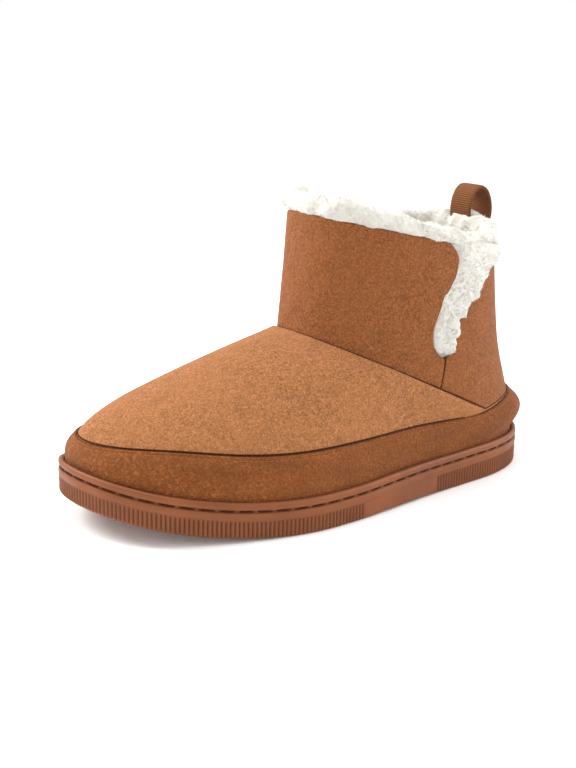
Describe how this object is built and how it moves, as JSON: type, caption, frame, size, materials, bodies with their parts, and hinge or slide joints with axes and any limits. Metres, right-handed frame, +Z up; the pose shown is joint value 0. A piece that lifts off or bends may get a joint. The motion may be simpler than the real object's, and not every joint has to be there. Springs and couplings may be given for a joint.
{
  "type": "bootie slipper",
  "caption": "Low ankle bootie slipper for the left foot: felt upper with a side notch, fleece collar, suede band, moulded cup sole and a heel pull loop.",
  "frame": {"origin": "on the floor under the middle of the shoe's bounding box", "axes": "+Z up; the toe points to -Y and the heel to +Y; +X is the outer (lateral) side of the left foot"},
  "size_m": [0.1117, 0.2706, 0.156],
  "materials": {
    "sole_rubber": "satin moulded rubber, tan brown",
    "wool_felt": "matte felt with a short nap, chestnut",
    "suede": "matte napped suede, darker chestnut",
    "fleece": "matte deep pile, cream",
    "loop_tape": "ribbed woven tape, brown"
  },
  "bodies": {
    "root": {"outsole": "sole_rubber", "upper": "wool_felt", "suede_band": "suede", "insole": "fleece", "fleece_collar": "fleece", "pull_loop": "loop_tape"}
  },
  "joints": []
}
